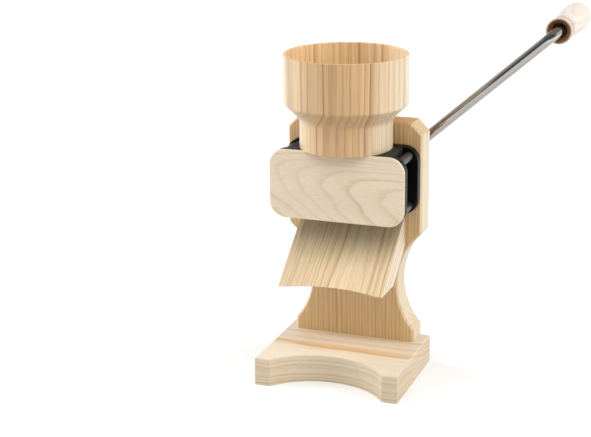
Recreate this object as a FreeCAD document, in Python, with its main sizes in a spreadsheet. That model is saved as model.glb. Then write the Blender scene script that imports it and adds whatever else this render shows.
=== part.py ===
import FreeCAD
import Part
import Sketcher
import math
import os

# Hand crank grain flaker, millimetres.
# X runs to the right, Y away from the bowl side towards the crank, Z up.
# The origin is the middle of the base's footprint, on the table.

os.makedirs("parts", exist_ok=True)
DOC = FreeCAD.newDocument("GrainFlaker")
SHEET = DOC.addObject("Spreadsheet::Sheet", "Sizes")

SIZES = [
    # base: two boards glued edge to edge, a round bite in the front edge
    ("base_half_width", "70"),
    ("base_half_depth", "55"),
    ("base_thickness", "27"),
    ("base_glue_line", "1.3"),
    ("bite_radius", "69"),
    ("bite_setback", "41.2"),
    ("bite_half_width", "=sqrt(bite_radius * bite_radius - bite_setback * bite_setback)"),
    ("edge_soft", "1.5"),
    # roller block's place, which the upright, chute, hopper and crank follow
    ("axis_height", "190.5"),
    ("plate_half_height", "32.5"),
    ("plate_top", "=axis_height + plate_half_height"),
    ("plate_bottom", "=axis_height - plate_half_height"),
    # upright: waisted board on the back of the base, heights from the base top
    ("upright_thickness", "24"),
    ("upright_front", "=base_half_depth - upright_thickness"),
    ("foot_half_width", "60.2"),
    ("foot_straight", "12.2"),
    ("waist_under_plates", "27.6"),
    ("waist_top", "=plate_bottom - waist_under_plates - base_thickness"),
    ("waist_radius", "70"),
    ("body_half_width", "66.6"),
    ("body_low", "=waist_top + body_half_width - foot_half_width"),
    ("top_over_plates", "20.3"),
    ("upright_height", "=plate_top + top_over_plates - base_thickness"),
    ("top_cut", "11"),
    ("top_half_width", "=body_half_width - top_cut"),
    ("body_high", "=upright_height - top_cut"),
    ("front_bevel", "1.8"),
    ("half_upright", "=upright_thickness / 2"),
    # roller block: two plates held apart by posts, panel glued on the front
    ("plate_half_width", "65"),
    ("plate_corner", "15"),
    ("plate_flat_x", "=plate_half_width - plate_corner"),
    ("plate_flat_z", "=plate_half_height - plate_corner"),
    ("panel_thickness", "2.5"),
    ("front_plate_thickness", "8.4"),
    ("plate_gap", "33.5"),
    ("rear_plate_thickness", "9"),
    ("rear_plate_front", "=upright_front - rear_plate_thickness"),
    ("front_plate_back", "=rear_plate_front - plate_gap"),
    ("front_plate_front", "=front_plate_back - front_plate_thickness"),
    ("panel_front", "=front_plate_front - panel_thickness"),
    ("upright_axis", "=axis_height - base_thickness"),
    ("panel_soft", "0.5"),
    ("plate_soft", "0.8"),
    # rollers, shafts and gears
    ("axis_offset", "24"),
    ("nip", "0.8"),
    ("roller_radius", "=axis_offset - nip / 2"),
    ("roller_soft", "0.6"),
    ("flute_count", "40"),
    ("flute_depth", "0.5"),
    ("flute_half_width", "0.7"),
    ("flute_floor", "=roller_radius - flute_depth"),
    ("flute_mouth", "=roller_radius + flute_depth"),
    ("shaft_radius", "5"),
    ("shaft_fit", "0.03"),
    ("shaft_soft", "0.5"),
    ("gear_width", "4"),
    ("gear_side_gap", "0.3"),
    ("pocket_depth", "=gear_width + 2 * gear_side_gap"),
    ("web_thickness", "=front_plate_thickness - pocket_depth"),
    ("gear_module", "2"),
    ("gear_teeth", "24"),
    ("gear_outer_radius", "=gear_module * gear_teeth / 2 + gear_module"),
    ("pocket_gap", "1"),
    ("pocket_radius", "=gear_outer_radius + pocket_gap"),
    ("tooth_pitch_angle", "=360 / gear_teeth"),
    ("gear_front", "=front_plate_front + gear_side_gap"),
    ("web_front", "=front_plate_front + pocket_depth"),
    # flanged bushes
    ("bush_radius", "7"),
    ("bush_bore", "=shaft_radius + shaft_fit"),
    ("flange_radius", "9"),
    ("flange_thickness", "0.8"),
    ("flange_gap", "0.1"),
    ("roller_front", "=front_plate_back + flange_thickness + flange_gap"),
    ("roller_length", "=plate_gap - 2 * flange_thickness - 2 * flange_gap"),
    ("rear_bush_front", "=rear_plate_front - flange_thickness"),
    ("front_bush_length", "=web_thickness + flange_thickness"),
    ("rear_bush_length", "=rear_plate_thickness + flange_thickness"),
    # spacer posts, plate screws at the front, long bolts from the back
    ("post_x", "56"),
    ("post_z", "23.8"),
    ("post_low", "=axis_height - post_z"),
    ("post_high", "=axis_height + post_z"),
    ("post_radius", "4.5"),
    ("screw_radius", "2"),
    ("screw_clear_radius", "2.2"),
    ("screw_head_radius", "3.5"),
    ("screw_head_height", "3"),
    ("screw_sink_radius", "4"),
    ("screw_sink_depth", "3.4"),
    ("screw_reach", "10"),
    ("bore_spare", "2"),
    ("screw_bore", "=screw_reach + bore_spare"),
    ("screw_key_half", "1.25"),
    ("screw_key_corner", "=screw_key_half / cos(30 deg)"),
    ("screw_key_side", "=screw_key_corner / 2"),
    ("screw_key_depth", "1.6"),
    ("screw_start", "=front_plate_front + screw_sink_depth - screw_head_height"),
    ("screw_length", "=screw_head_height + front_plate_thickness - screw_sink_depth + screw_reach"),
    ("bolt_radius", "2.5"),
    ("bolt_clear_radius", "2.75"),
    ("bolt_head_radius", "4.25"),
    ("bolt_head_height", "5"),
    ("bolt_sink_radius", "4.8"),
    ("bolt_sink_depth", "5.6"),
    ("bolt_reach", "12"),
    ("bolt_bore", "=bolt_reach + bore_spare"),
    ("bolt_bore_end", "=plate_gap - bolt_bore"),
    ("bolt_key_half", "2"),
    ("bolt_key_corner", "=bolt_key_half / cos(30 deg)"),
    ("bolt_key_side", "=bolt_key_corner / 2"),
    ("bolt_key_depth", "2.5"),
    ("bolt_seat", "=base_half_depth - bolt_sink_depth"),
    ("bolt_shank", "=upright_thickness - bolt_sink_depth + rear_plate_thickness + bolt_reach"),
    ("bolt_high", "=upright_axis + post_z"),
    ("bolt_low", "=upright_axis - post_z"),
    # grain guides over the rollers, measured from the roller axis height
    ("guide_well_x", "15"),
    ("guide_tip_x", "9.5"),
    ("guide_tip_z", "20.4"),
    ("guide_slope_z", "26"),
    ("guide_top_gap", "0.5"),
    ("guide_top_z", "=plate_half_height - guide_top_gap"),
    ("guide_outer_x", "50.4"),
    ("guide_low_z", "18.7"),
    ("guide_low_x", "39"),
    ("guide_inner_z", "18"),
    ("guide_gap", "0.8"),
    ("guide_bore", "=roller_radius + guide_gap"),
    # chute board, measured from the top of its lip
    ("chute_half_width", "50.85"),
    ("chute_width", "=2 * chute_half_width"),
    ("chute_angle", "38.7"),
    ("chute_run", "72.2"),
    ("chute_lip_y", "=chute_run - upright_front"),
    ("chute_lip_edge", "0.3"),
    ("chute_flat", "35.6"),
    ("chute_slope", "=tan(chute_angle * 1 deg)"),
    ("chute_rise", "=chute_run * chute_slope"),
    ("chute_under_plates", "3.5"),
    ("chute_lip_z", "=plate_bottom - chute_under_plates - chute_rise"),
    ("chute_back_low", "=(chute_run - chute_flat) * chute_slope - chute_lip_edge"),
    ("chute_soft", "0.8"),
    ("trough_half_width", "46"),
    ("trough_depth", "7"),
    ("trough_radius", "=(trough_half_width ^ 2 + trough_depth ^ 2) / (2 * trough_depth)"),
    ("trough_centre", "=trough_radius - trough_depth"),
    # dowels between chute and upright
    ("dowel_radius", "4"),
    ("dowel_x", "30"),
    ("dowel_above_lip", "35.3"),
    ("dowel_height", "=chute_lip_z + dowel_above_lip"),
    ("dowel_in_chute", "9"),
    ("dowel_in_upright", "12"),
    ("dowel_length", "=dowel_in_chute + dowel_in_upright"),
    ("dowel_start", "=upright_front - dowel_in_chute"),
    ("dowel_up", "=dowel_height - base_thickness"),
    # screws from below into the upright's foot
    ("base_screw_apart", "40"),
    ("base_screw_y", "=upright_front + half_upright"),
    ("base_screw_radius", "2.5"),
    ("base_screw_clear", "2.8"),
    ("base_screw_head", "5"),
    ("base_screw_sink", "5.4"),
    ("base_screw_recess", "1"),
    ("base_head_height", "3"),
    ("base_head_top", "=base_screw_recess + base_head_height"),
    ("base_cross_half", "0.6"),
    ("base_cross_reach", "2.6"),
    ("base_cross_depth", "1.8"),
    ("base_screw_pilot", "26"),
    ("base_screw_tip", "=base_thickness + base_screw_pilot - bore_spare"),
    ("base_screw_point", "4"),
    ("base_point_start", "=base_screw_tip - base_screw_point"),
    # hopper: turned bowl on a neck, heights from the plate tops
    ("hopper_from_rear", "14.5"),
    ("hopper_y", "=rear_plate_front - hopper_from_rear"),
    ("hopper_radius", "57.5"),
    ("hopper_wall", "2.5"),
    ("neck_radius", "43.1"),
    ("neck_high", "27.5"),
    ("shoulder_high", "41.2"),
    ("hopper_height", "87.2"),
    ("bowl_radius", "=hopper_radius - hopper_wall"),
    ("bowl_low", "46"),
    ("outlet_radius", "12"),
    ("outlet_high", "9"),
    ("spigot_radius", "14"),
    ("spigot_drop", "6"),
    ("neck_inner_fillet", "8"),
    ("shoulder_fillet", "4"),
    ("rim_soft", "1.1"),
    ("neck_seat_gap", "0.4"),
    ("neck_seat_radius", "=neck_radius + neck_seat_gap"),
    ("seat_y", "=hopper_y - upright_front"),
    ("seat_high", "=plate_top - base_thickness"),
    ("cut_over", "1"),
    ("seat_cut", "=upright_height - seat_high + cut_over"),
    ("bowl_fillet", "9"),
    # crank: hub on the drive shaft, cross pin, set screw
    ("hub_radius", "9"),
    ("hub_side_gap", "1"),
    ("hub_start", "=upright_front + hub_side_gap"),
    ("hub_stands_out", "5.6"),
    ("hub_end", "=base_half_depth + hub_stands_out"),
    ("hub_length", "=hub_end - hub_start"),
    ("hub_soft", "0.8"),
    ("hub_hole_radius", "11"),
    ("shaft_in_hub", "12"),
    ("shaft_tail", "=hub_start + shaft_in_hub"),
    ("drive_shaft_length", "=shaft_tail - gear_front"),
    ("driven_end_gap", "0.3"),
    ("driven_shaft_length", "=upright_front - driven_end_gap - gear_front"),
    ("hub_pin_radius", "1.5"),
    ("hub_pin_half", "8.8"),
    ("pin_in_hub", "6"),
    ("hub_pin_y", "=hub_start + pin_in_hub"),
    ("pin_in_shaft", "=hub_pin_y - gear_front"),
    ("set_screw_from_end", "3.6"),
    ("set_screw_y", "=hub_end - set_screw_from_end"),
    ("set_screw_in_hub", "=set_screw_y - hub_start"),
    ("set_screw_radius", "2"),
    ("set_screw_top", "8.6"),
    ("set_screw_key_half", "1"),
    ("set_screw_key_corner", "=set_screw_key_half / cos(30 deg)"),
    ("set_screw_key_side", "=set_screw_key_corner / 2"),
    ("set_screw_key_depth", "1.6"),
    ("set_screw_cut", "=hub_radius + cut_over"),
    # bent rod, in the plane of its arm
    ("rod_radius", "5"),
    ("rod_shaft_gap", "1"),
    ("rod_start", "=shaft_tail + rod_shaft_gap"),
    ("bend_radius", "12"),
    ("bend_hub_gap", "0.2"),
    ("arm_y", "=hub_end + bend_hub_gap + bend_radius"),
    ("bend_start", "=arm_y - bend_radius"),
    ("bend_end", "=arm_y + bend_radius"),
    ("crank_radius", "205.6"),
    ("crank_angle", "41.33"),
    ("arm_outer", "=crank_radius - bend_radius"),
    ("grip_x", "=axis_offset + crank_radius * cos(crank_angle * 1 deg)"),
    ("grip_z", "=axis_height + crank_radius * sin(crank_angle * 1 deg)"),
    ("grip_from_arm", "11.2"),
    ("grip_start", "=arm_y + grip_from_arm"),
    ("ring_at", "57"),
    ("ring_thickness", "1.2"),
    ("ring_side_gap", "0.1"),
    ("ring_groove_radius", "4.3"),
    ("ring_outer", "6.6"),
    ("groove_start", "=grip_start + ring_at"),
    ("groove_length", "=ring_thickness + 2 * ring_side_gap"),
    ("ring_start", "=groove_start + ring_side_gap"),
    ("tip_start", "=groove_start + groove_length"),
    ("tip_length", "3.6"),
    ("tip_soft", "0.8"),
    # turned grip, measured from its collar face
    ("collar_radius", "12.4"),
    ("collar_length", "1.8"),
    ("mouth_radius", "10.4"),
    ("mouth_depth", "3.2"),
    ("grip_bore", "7.2"),
    ("grip_bore_depth", "66"),
    ("grip_waist", "10.3"),
    ("waist_start", "7"),
    ("waist_end", "9"),
    ("belly_at", "84"),
    ("belly_radius", "13.8"),
    ("belly_long", "=belly_at - waist_end"),
    ("belly_step", "=belly_radius - grip_waist"),
    ("swell_radius", "=(belly_long ^ 2 + belly_step ^ 2) / (2 * belly_step)"),
    ("cap_bend_radius", "57"),
    ("cap_angle", "19.5"),
    ("cap_r", "=belly_radius - cap_bend_radius * (1 - cos(cap_angle * 1 deg))"),
    ("cap_y", "=belly_at + cap_bend_radius * sin(cap_angle * 1 deg)"),
    ("cap_radius", "=cap_r / cos(cap_angle * 1 deg)"),
    ("grip_end", "=cap_y + cap_radius * (1 - sin(cap_angle * 1 deg))"),
    ("collar_soft", "0.7"),
    ("grip_bush_at", "6"),
    ("grip_bush_start", "=grip_start + grip_bush_at"),
    ("grip_bush_length", "50"),
    ("grip_fit", "0.05"),
    ("grip_bush_bore", "=rod_radius + grip_fit"),
]

LONG_EDGE = 20
PRESSURE_ANGLE = 20
ROOT_SHARE = 1.25
BACKLASH = 0.16
FLANK_SHARES = (0.02, 0.35, 0.7, 1.0)


def fill_sheet():
    """Write every size into the sheet, one row each, alias beside value."""
    for row, (alias, content) in enumerate(SIZES, 1):
        SHEET.set("A%d" % row, alias)
        SHEET.set("B%d" % row, content)
        SHEET.setAlias("B%d" % row, alias)
    DOC.recompute()


def size(term):
    """Value behind an alias; a leading minus turns its sign, "0" is zero."""
    if term == "0":
        return 0.0
    if term.startswith("-"):
        return -float(SHEET.get(term[1:]))
    return float(SHEET.get(term))


def link(term):
    """The same term as an expression that follows the sheet."""
    if term.startswith("-"):
        return "-Sizes." + term[1:]
    return "Sizes." + term


def flip(term, side):
    """Turn a term's sign when the side is the left one."""
    if side > 0 or term == "0":
        return term
    return term[1:] if term.startswith("-") else "-" + term


def new_body(label, x="0", y="0", z="0"):
    """Empty body, placed by named sizes."""
    body = DOC.addObject("PartDesign::Body", label)
    body.Label = label
    place(body, x, y, z)
    return body


def place(item, x, y, z):
    for axis, term in zip("xyz", (x, y, z)):
        if term != "0":
            item.setExpression("Placement.Base." + axis, link(term))


def new_sketch(body, name, plane, offset="0"):
    """Sketch on one of the body's own origin planes."""
    sketch = body.newObject("Sketcher::SketchObject", name)
    for feature in body.Origin.OriginFeatures:
        if feature.Role == plane + "_Plane":
            sketch.AttachmentSupport = [(feature, "")]
    sketch.MapMode = "FlatFace"
    if offset != "0":
        sketch.setExpression("AttachmentOffset.Base.z", link(offset))
    return sketch


def tie_point(sketch, edge, point, terms):
    """Hold one point of an edge at named coordinates; -2 is the sketch's upright axis, -1 the level one."""
    for kind, axis, term in (("DistanceX", -2, terms[0]), ("DistanceY", -1, terms[1])):
        if term == "0":
            sketch.addConstraint(Sketcher.Constraint("PointOnObject", edge, point, axis))
        else:
            row = sketch.addConstraint(Sketcher.Constraint(kind, edge, point, size(term)))
            sketch.setExpression("Constraints[%d]" % row, link(term))


def radius_tie(sketch, edge, term):
    row = sketch.addConstraint(Sketcher.Constraint("Radius", edge, size(term)))
    sketch.setExpression("Constraints[%d]" % row, link(term))


def arc_middle(start, end, radius, bulge):
    """Point half way along an arc; bulge +1 leans left of the walk, -1 right."""
    chord = end - start
    half = chord.Length / 2
    rise = radius - math.sqrt(max(radius * radius - half * half, 0))
    left = FreeCAD.Vector(-chord.y, chord.x, 0).normalize()
    return (start + end) * 0.5 + left * (rise * bulge)


def outline(sketch, points, arcs=None, closed=True):
    """Chain of lines and arcs through named points, every point tied to the sheet."""
    arcs = arcs or {}
    spots = [FreeCAD.Vector(size(a), size(b), 0) for a, b in points]
    count = len(spots) if closed else len(spots) - 1
    ends = []
    for index in range(count):
        start = spots[index]
        end = spots[(index + 1) % len(spots)]
        if index in arcs:
            radius, bulge = arcs[index]
            middle = arc_middle(start, end, size(radius), bulge)
            edge = sketch.addGeometry(Part.Arc(start, middle, end))
        else:
            edge = sketch.addGeometry(Part.LineSegment(start, end))
        walks_on = (sketch.getPoint(edge, 1) - start).Length < (sketch.getPoint(edge, 2) - start).Length
        ends.append((edge, 1, 2) if walks_on else (edge, 2, 1))
    for index in range(count):
        edge, first, last = ends[index]
        tie_point(sketch, edge, first, points[index])
        if closed or index + 1 < count:
            after, after_first, _ = ends[(index + 1) % count]
            sketch.addConstraint(Sketcher.Constraint("Coincident", edge, last, after, after_first))
        else:
            tie_point(sketch, edge, last, points[index + 1])
        if index in arcs:
            radius_tie(sketch, edge, arcs[index][0])
    return sketch


def rings(sketch, centres, radius):
    """Equal circles at named centres."""
    for centre in centres:
        spot = FreeCAD.Vector(size(centre[0]), size(centre[1]), 0)
        edge = sketch.addGeometry(Part.Circle(spot, FreeCAD.Vector(0, 0, 1), size(radius)))
        tie_point(sketch, edge, 3, centre)
        radius_tie(sketch, edge, radius)
    return sketch


def pad(body, sketch, length, turned=False, middle=False):
    feature = body.newObject("PartDesign::Pad", sketch.Name + "Pad")
    feature.Profile = sketch
    feature.setExpression("Length", link(length))
    feature.Reversed = turned
    feature.Midplane = middle
    sketch.Visibility = False
    return feature


def cut(body, sketch, depth=None, turned=False):
    """Pocket to a named depth, or right through both ways when none is given."""
    feature = body.newObject("PartDesign::Pocket", sketch.Name + "Cut")
    feature.Profile = sketch
    if depth is None:
        feature.Type = 1
        feature.Midplane = True
    else:
        feature.setExpression("Length", link(depth))
        feature.Reversed = turned
    sketch.Visibility = False
    return feature


def turn(body, sketch):
    """Revolve a half outline about the sketch's upright axis."""
    feature = body.newObject("PartDesign::Revolution", sketch.Name + "Turned")
    feature.Profile = sketch
    feature.ReferenceAxis = (sketch, ["V_Axis"])
    feature.Angle = 360
    sketch.Visibility = False
    return feature


def repeat(body, feature, axis_sketch, count):
    """Repeat one cut evenly about the sketch's normal."""
    pattern = body.newObject("PartDesign::PolarPattern", feature.Name + "Round")
    pattern.Originals = [feature]
    pattern.Axis = (axis_sketch, ["N_Axis"])
    pattern.Angle = 360
    pattern.Occurrences = int(size(count))
    body.Tip = pattern


def key_socket(body, plane, offset, key, depth, turned=False):
    """Hexagonal socket about the body's origin; key names its half width across flats."""
    half, corner, side = key + "_half", key + "_corner", key + "_side"
    points = [("0", corner), ("-" + half, side), ("-" + half, "-" + side), ("0", "-" + corner),
              (half, "-" + side), (half, side)]
    cut(body, outline(new_sketch(body, body.Label + "Key", plane, offset), points), depth, turned)


def dress(body, kind, amount, wanted):
    """Round or bevel the edges of the body's last shape that pass the test."""
    DOC.recompute()
    base = body.Tip
    names = ["Edge%d" % n for n, edge in enumerate(base.Shape.Edges, 1) if wanted(edge)]
    feature = body.newObject("PartDesign::" + kind, base.Name + kind)
    feature.Base = (base, names)
    feature.setExpression("Radius" if kind == "Fillet" else "Size", link(amount))
    base.Visibility = False
    return feature


def near(a, b):
    return abs(a - b) < 0.01


def edge_flat(edge, axis, value):
    """True when the whole edge lies in a plane across the given axis."""
    box = edge.BoundBox
    low = getattr(box, axis + "Min")
    high = getattr(box, axis + "Max")
    return near(low, value) and near(high, value)


def circle_of(edge, radius, axis):
    """True for a circle of the named radius that lies across the given axis."""
    if edge.Degenerated or not hasattr(edge.Curve, "Radius"):
        return False
    box = edge.BoundBox
    across = getattr(box, axis + "Length")
    return near(edge.Curve.Radius, size(radius)) and near(across, 0)


def group(label, bodies):
    """Several equal pieces that share one node."""
    compound = DOC.addObject("Part::Compound", label)
    compound.Label = label
    compound.Links = bodies
    return compound


def turned_piece(label, points, x="0", y="0", z="0", plane="XY", arcs=None):
    """Lathe-made piece; plane XY turns about Y, plane XZ turns about Z."""
    body = new_body(label, x, y, z)
    sketch = outline(new_sketch(body, label + "Outline", plane), points, arcs)
    turn(body, sketch)
    return body


def make_base():
    front = new_body("base_front_board")
    points = [("-base_half_width", "-base_half_depth"), ("-bite_half_width", "-base_half_depth"),
              ("bite_half_width", "-base_half_depth"), ("base_half_width", "-base_half_depth"),
              ("base_half_width", "base_glue_line"), ("-base_half_width", "base_glue_line")]
    sketch = outline(new_sketch(front, "FrontBoard", "XY"), points, {1: ("bite_radius", 1)})
    pad(front, sketch, "base_thickness")
    glue = size("base_glue_line")
    dress(front, "Fillet", "edge_soft",
          lambda edge: edge_flat(edge, "Z", size("base_thickness")) and not edge_flat(edge, "Y", glue))

    rear = new_body("base_rear_board")
    points = [("-base_half_width", "base_glue_line"), ("base_half_width", "base_glue_line"),
              ("base_half_width", "base_half_depth"), ("-base_half_width", "base_half_depth")]
    sketch = outline(new_sketch(rear, "RearBoard", "XY"), points)
    pad(rear, sketch, "base_thickness")
    screws = [(x, "base_screw_y") for x in ("-base_screw_apart", "0", "base_screw_apart")]
    cut(rear, rings(new_sketch(rear, "ScrewHoles", "XY"), screws, "base_screw_clear"))
    sinks = rings(new_sketch(rear, "ScrewSinks", "XY"), screws, "base_screw_sink")
    cut(rear, sinks, "base_head_top", turned=True)
    top = size("base_thickness")
    dress(rear, "Fillet", "edge_soft",
          lambda edge: edge_flat(edge, "Z", top) and not edge_flat(edge, "Y", glue)
          and edge.Length > LONG_EDGE)
    return [("base_front_board", front), ("base_rear_board", rear)]


def make_upright():
    body = new_body("upright", "0", "upright_front", "base_thickness")
    right = [("foot_half_width", "0"), ("foot_half_width", "foot_straight"),
             ("foot_half_width", "waist_top"), ("body_half_width", "body_low"),
             ("body_half_width", "body_high"), ("top_half_width", "upright_height")]
    left = [(flip(a, -1), b) for a, b in reversed(right)]
    sketch = outline(new_sketch(body, "UprightOutline", "XZ"), right + left,
                     {1: ("waist_radius", 1), 9: ("waist_radius", 1)})
    pad(body, sketch, "upright_thickness", turned=True)
    dress(body, "Chamfer", "front_bevel",
          lambda edge: edge_flat(edge, "Y", 0) and not edge_flat(edge, "Z", 0))

    # round seat for the hopper's neck, from the plate tops up
    seat = new_sketch(body, "NeckSeat", "XY", "seat_high")
    rings(seat, [("0", "seat_y")], "neck_seat_radius")
    cut(body, seat, "seat_cut", turned=True)

    # passage for the crank hub
    passage = new_sketch(body, "HubPassage", "XZ")
    cut(body, rings(passage, [("axis_offset", "upright_axis")], "hub_hole_radius"))

    # bolt holes with sunk heads at the back
    holes = [(x, z) for x in ("-post_x", "post_x") for z in ("bolt_low", "bolt_high")]
    cut(body, rings(new_sketch(body, "BoltHoles", "XZ"), holes, "bolt_clear_radius"))
    sinks = new_sketch(body, "BoltSinks", "XZ", "-upright_thickness")
    cut(body, rings(sinks, holes, "bolt_sink_radius"), "bolt_sink_depth", turned=True)

    # blind holes for the chute dowels, pilot holes for the base screws
    dowels = new_sketch(body, "DowelHoles", "XZ")
    rings(dowels, [("dowel_x", "dowel_up"), ("-dowel_x", "dowel_up")], "dowel_radius")
    cut(body, dowels, "dowel_in_upright")
    pilots = [(x, "half_upright") for x in ("-base_screw_apart", "0", "base_screw_apart")]
    cut(body, rings(new_sketch(body, "PilotHoles", "XY"), pilots, "base_screw_radius"),
        "base_screw_pilot", turned=True)
    return [("upright", body)]


def make_chute():
    body = new_body("chute_board", "0", "-chute_lip_y", "chute_lip_z")
    points = [("0", "0"), ("0", "-chute_lip_edge"), ("chute_flat", "-chute_lip_edge"),
              ("chute_run", "chute_back_low"), ("chute_run", "chute_rise")]
    pad(body, outline(new_sketch(body, "ChuteSide", "YZ"), points), "chute_width", middle=True)
    wide = size("chute_half_width")
    dress(body, "Fillet", "chute_soft",
          lambda edge: (edge_flat(edge, "X", wide) or edge_flat(edge, "X", -wide))
          and near(edge.BoundBox.ZMin, 0) and edge.Length > LONG_EDGE)

    # hollow along the slope, so the flakes run to the middle
    trough = new_sketch(body, "Trough", "XZ")
    tilt = FreeCAD.Rotation(FreeCAD.Vector(1, 0, 0), size("chute_angle"))
    trough.AttachmentOffset = FreeCAD.Placement(FreeCAD.Vector(0, 0, 0), tilt)
    trough.setExpression("AttachmentOffset.Rotation.Angle", "Sizes.chute_angle * 1 deg")
    cut(body, rings(trough, [("0", "trough_centre")], "trough_radius"))

    holes = new_sketch(body, "ChuteDowelHoles", "XZ", "-chute_run")
    rings(holes, [("dowel_x", "dowel_above_lip"), ("-dowel_x", "dowel_above_lip")], "dowel_radius")
    cut(body, holes, "dowel_in_chute", turned=True)

    dowels = []
    for name, x in (("dowel_left", "-dowel_x"), ("dowel_right", "dowel_x")):
        points = [("0", "0"), ("dowel_radius", "0"), ("dowel_radius", "dowel_length"), ("0", "dowel_length")]
        dowels.append(turned_piece(name, points, x, "dowel_start", "dowel_height"))
    return [("chute_board", body), ("chute_dowels", group("chute_dowels", dowels))]


def make_base_screws():
    """Wood screws from below, each with a cross recess in its head."""
    points = [("0", "base_screw_recess"), ("base_screw_head", "base_screw_recess"),
              ("base_screw_head", "base_head_top"), ("base_screw_radius", "base_head_top"),
              ("base_screw_radius", "base_point_start"), ("0", "base_screw_tip")]
    half, reach = "base_cross_half", "base_cross_reach"
    cross = [(half, half), (reach, half), (reach, "-" + half),
             (half, "-" + half), (half, "-" + reach), ("-" + half, "-" + reach)]
    cross += [(flip(x, -1), flip(y, -1)) for x, y in cross]
    screws = []
    for number, x in enumerate(("-base_screw_apart", "0", "base_screw_apart"), 1):
        screw = turned_piece("base_screw_%d" % number, points, x, "base_screw_y", "0", "XZ")
        recess = new_sketch(screw, "CrossRecess%d" % number, "XY", "base_screw_recess")
        cut(screw, outline(recess, cross), "base_cross_depth", turned=True)
        screws.append(screw)
    return [("base_screws", group("base_screws", screws))]


def rounded_plate(label, y, thickness, soft):
    """Plate with the block's round-cornered outline, its rims softened."""
    body = new_body(label, "0", y, "axis_height")
    flat_x, flat_z = "plate_flat_x", "plate_flat_z"
    wide, high = "plate_half_width", "plate_half_height"
    points = [("-" + flat_x, "-" + high), (flat_x, "-" + high), (wide, "-" + flat_z), (wide, flat_z),
              (flat_x, high), ("-" + flat_x, high), ("-" + wide, flat_z), ("-" + wide, "-" + flat_z)]
    corners = {edge: ("plate_corner", -1) for edge in (1, 3, 5, 7)}
    pad(body, outline(new_sketch(body, label + "Outline", "XZ"), points, corners), thickness, turned=True)
    depth = size(thickness)
    if label == "front_panel":
        dress(body, "Fillet", soft, lambda edge: edge_flat(edge, "Y", 0))
    else:
        dress(body, "Fillet", soft, lambda edge: edge_flat(edge, "Y", 0) or edge_flat(edge, "Y", depth))
    return body


def make_plates():
    panel = rounded_plate("front_panel", "panel_front", "panel_thickness", "panel_soft")
    front = rounded_plate("front_plate", "front_plate_front", "front_plate_thickness", "plate_soft")
    rear = rounded_plate("rear_plate", "rear_plate_front", "rear_plate_thickness", "plate_soft")
    axes = [("axis_offset", "0"), ("-axis_offset", "0")]
    corners = [(x, z) for x in ("-post_x", "post_x") for z in ("-post_z", "post_z")]

    # one round pocket for each gear; the two overlap where the teeth meet
    for number, centre in enumerate(axes, 1):
        pocket = new_sketch(front, "GearPocket%d" % number, "XZ")
        cut(front, rings(pocket, [centre], "pocket_radius"), "pocket_depth")
    cut(front, rings(new_sketch(front, "FrontBushHoles", "XZ"), axes, "bush_radius"))
    cut(front, rings(new_sketch(front, "PlateScrewHoles", "XZ"), corners, "screw_clear_radius"))
    sinks = rings(new_sketch(front, "PlateScrewSinks", "XZ"), corners, "screw_sink_radius")
    cut(front, sinks, "screw_sink_depth")
    cut(rear, rings(new_sketch(rear, "RearBushHoles", "XZ"), axes, "bush_radius"))
    cut(rear, rings(new_sketch(rear, "RearBoltHoles", "XZ"), corners, "bolt_clear_radius"))
    return [("front_panel", panel), ("front_plate", front), ("rear_plate", rear)]


def make_posts():
    spots = [(x, z) for x in ("-post_x", "post_x") for z in ("post_low", "post_high")]
    post = [("screw_radius", "0"), ("post_radius", "0"), ("post_radius", "plate_gap"),
            ("bolt_radius", "plate_gap"), ("bolt_radius", "bolt_bore_end"), ("0", "bolt_bore_end"),
            ("0", "screw_bore"), ("screw_radius", "screw_bore")]
    screw = [("0", "0"), ("screw_head_radius", "0"), ("screw_head_radius", "screw_head_height"),
             ("screw_radius", "screw_head_height"), ("screw_radius", "screw_length"), ("0", "screw_length")]
    bolt = [("0", "-bolt_shank"), ("bolt_radius", "-bolt_shank"), ("bolt_radius", "0"),
            ("bolt_head_radius", "0"), ("bolt_head_radius", "bolt_head_height"), ("0", "bolt_head_height")]
    posts, screws, bolts = [], [], []
    for number, (x, z) in enumerate(spots, 1):
        posts.append(turned_piece("spacer_post_%d" % number, post, x, "front_plate_back", z))
        screws.append(turned_piece("plate_screw_%d" % number, screw, x, "screw_start", z))
        key_socket(screws[-1], "XZ", "0", "screw_key", "screw_key_depth")
        bolts.append(turned_piece("mounting_bolt_%d" % number, bolt, x, "bolt_seat", z))
        key_socket(bolts[-1], "XZ", "-bolt_head_height", "bolt_key", "bolt_key_depth", turned=True)
    kinds = [("spacer_posts", posts), ("plate_screws", screws), ("mounting_bolts", bolts)]
    return [(node, group(node, pieces)) for node, pieces in kinds]


def make_guides():
    nodes = []
    for label, side in (("right_guide", 1), ("left_guide", -1)):
        body = new_body(label, "0", "front_plate_back", "axis_height")
        points = [("guide_well_x", "guide_top_z"), ("guide_outer_x", "guide_top_z"),
                  ("guide_outer_x", "-guide_low_z"), ("guide_low_x", "-guide_low_z"), ("axis_offset", "0"),
                  ("guide_tip_x", "guide_inner_z"), ("guide_tip_x", "guide_tip_z"),
                  ("guide_well_x", "guide_slope_z")]
        points = [(flip(x, side), z) for x, z in points]
        pad(body, outline(new_sketch(body, label + "Outline", "XZ"), points), "plate_gap", turned=True)
        round_way = new_sketch(body, label + "RollerWay", "XZ")
        cut(body, rings(round_way, [(flip("axis_offset", side), "0")], "guide_bore"))
        nodes.append((label, body))
    return nodes


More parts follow.
